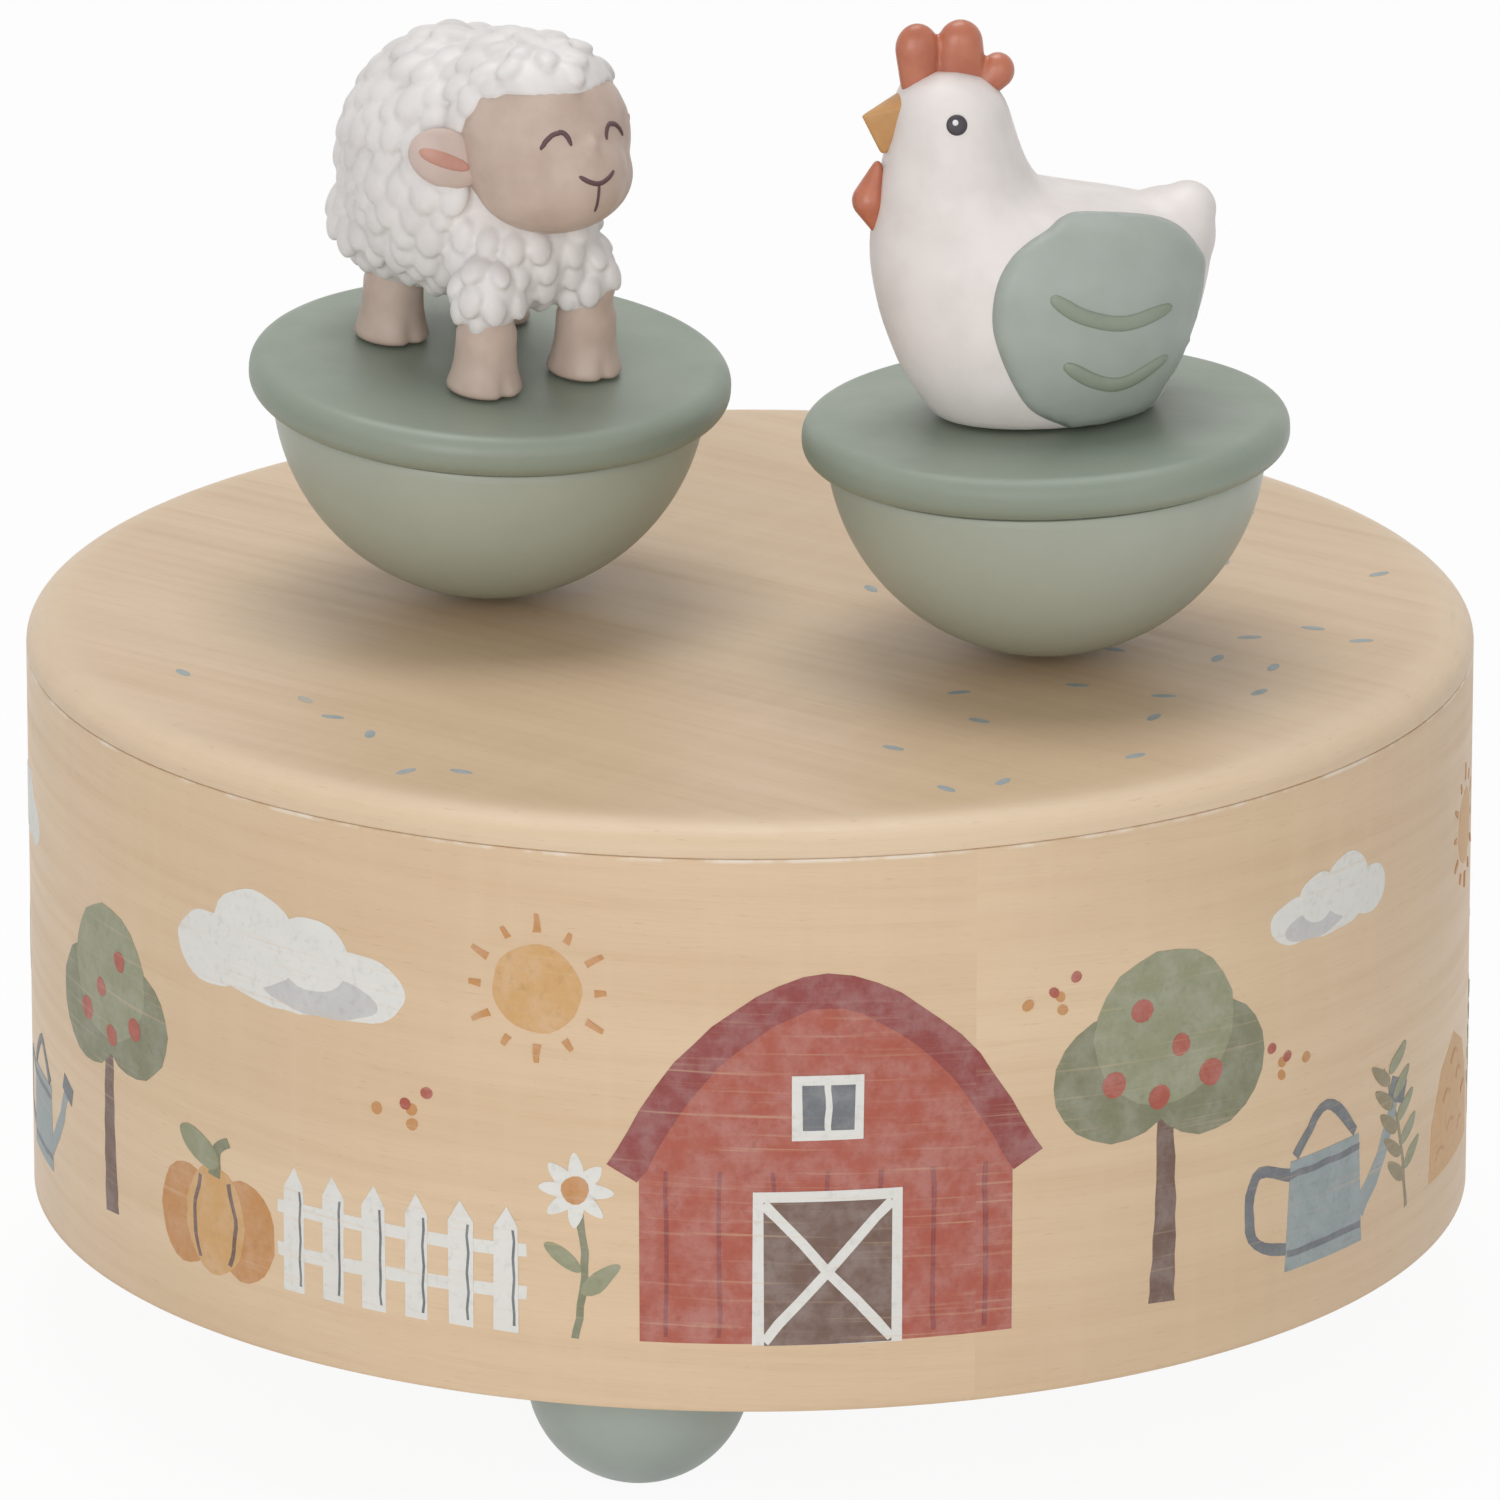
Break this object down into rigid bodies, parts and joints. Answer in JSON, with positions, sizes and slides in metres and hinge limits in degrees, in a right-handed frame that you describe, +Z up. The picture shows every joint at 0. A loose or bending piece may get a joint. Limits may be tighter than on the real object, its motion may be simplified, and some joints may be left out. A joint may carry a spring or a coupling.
{
  "type": "music box",
  "caption": "Round wooden music box on ball feet; a wind-up movement turns magnets under the top, so weighted sheep and hen figures glide round on it.",
  "frame": {"origin": "on the floor, on the box's axis, at the centre of the part's bounding box", "axes": "+Z up along the box's axis, -Y towards the front, where the picture was taken from"},
  "size_m": [0.115, 0.115, 0.1095],
  "materials": {
    "veneer": "satin clear-coated pale veneer, grain running round the ring",
    "plywood": "satin clear-coated pale plywood",
    "block_wood": "raw sawn softwood",
    "foot_paint": "satin blue-grey green paint",
    "lid_paint": "satin dark sage green paint",
    "bowl_paint": "satin pale sage grey paint",
    "fleece": "cast resin, satin, painted off-white with tan face",
    "feather": "cast resin, satin, painted off-white with rust comb and teal wings",
    "magnet": "nickel-plated magnet",
    "brass": "turned brass, bright",
    "steel": "ground steel",
    "spring_steel": "blued spring steel",
    "cast": "die-cast grey metal",
    "screw_steel": "zinc-plated steel"
  },
  "bodies": {
    "case": {"side_ring": "veneer", "top_plate": "plywood", "bottom_plate": "plywood", "glue_block_1": "block_wood", "glue_block_2": "block_wood", "glue_block_3": "block_wood", "block_screw_1": "screw_steel", "block_screw_2": "screw_steel", "block_screw_3": "screw_steel", "foot_1": "foot_paint", "foot_2": "foot_paint", "foot_3": "foot_paint", "foot_screw_1": "screw_steel", "foot_screw_2": "screw_steel", "foot_screw_3": "screw_steel", "bedplate": "cast", "movement_screw_1": "screw_steel", "movement_screw_2": "screw_steel", "movement_screw_3": "screw_steel", "arbor_bush": "brass", "click_pin": "steel", "click_spring": "spring_steel", "near_bracket": "cast", "far_bracket": "cast", "bracket_screw_1": "screw_steel", "bracket_screw_2": "screw_steel", "comb": "steel", "comb_screw_1": "screw_steel", "comb_screw_2": "screw_steel", "governor_cock": "cast"},
    "winder": {"arbor": "steel", "winding_key": "brass", "ratchet_wheel": "steel"},
    "click_lever": {"click": "steel"},
    "barrel": {"spring_barrel": "brass", "barrel_cover": "brass", "mainspring": "spring_steel", "magnet_arm": "steel", "arm_screw": "screw_steel", "sheep_side_magnet": "magnet", "hen_side_magnet": "magnet"},
    "cylinder": {"pinned_cylinder": "brass", "cylinder_pinion": "brass", "cylinder_wheel": "brass"},
    "governor": {"governor_wheel": "brass"},
    "fan": {"governor_fan": "steel"},
    "sheep": {"sheep_figure": "fleece", "sheep_lid": "lid_paint", "sheep_bowl": "bowl_paint", "sheep_magnet": "magnet", "sheep_screw": "screw_steel"},
    "hen": {"hen_figure": "feather", "hen_lid": "lid_paint", "hen_bowl": "bowl_paint", "hen_magnet": "magnet", "hen_screw": "screw_steel"}
  },
  "joints": [
    {"name": "winder_turn", "type": "hinge", "parent": "case", "child": "winder", "pos_m": [0, 0, 0.0128], "axis": [0, 0, 1], "continuous": true, "deforming": ["mainspring"]},
    {"name": "click_pivot", "type": "hinge", "parent": "case", "child": "click_lever", "pos_m": [-0.0085, 0.0082, 0.0187], "axis": [0, 0, 1], "range_deg": [0, 12], "stiffness_Nm_per_rad": 0.00001, "deforming": ["click_spring"]},
    {"name": "barrel_turn", "type": "hinge", "parent": "case", "child": "barrel", "pos_m": [0, 0, 0.0251], "axis": [0, 0, 1], "continuous": true, "deforming": ["mainspring"]},
    {"name": "cylinder_turn", "type": "hinge", "parent": "case", "child": "cylinder", "pos_m": [0.0265, 0, 0.0277], "axis": [1, 0, 0], "continuous": true},
    {"name": "governor_turn", "type": "hinge", "parent": "case", "child": "governor", "pos_m": [0.0417, 0.0107, 0.0277], "axis": [1, 0, 0], "continuous": true},
    {"name": "fan_turn", "type": "hinge", "parent": "case", "child": "fan", "pos_m": [0.04298, 0.0165, 0.0277], "axis": [0, 0, 1], "continuous": true},
    {"name": "sheep_spin", "type": "hinge", "parent": "barrel", "child": "sheep", "pos_m": [-0.02064, 0.0035, 0.07545], "axis": [0, 0, 1], "continuous": true},
    {"name": "hen_spin", "type": "hinge", "parent": "barrel", "child": "hen", "pos_m": [0.02319, -0.0119, 0.07545], "axis": [0, 0, 1], "continuous": true}
  ],
  "couplings": [
    {"joint": "cylinder_turn", "follows": "barrel_turn", "ratio": 2},
    {"joint": "governor_turn", "follows": "barrel_turn", "ratio": -5},
    {"joint": "fan_turn", "follows": "barrel_turn", "ratio": 30}
  ]
}
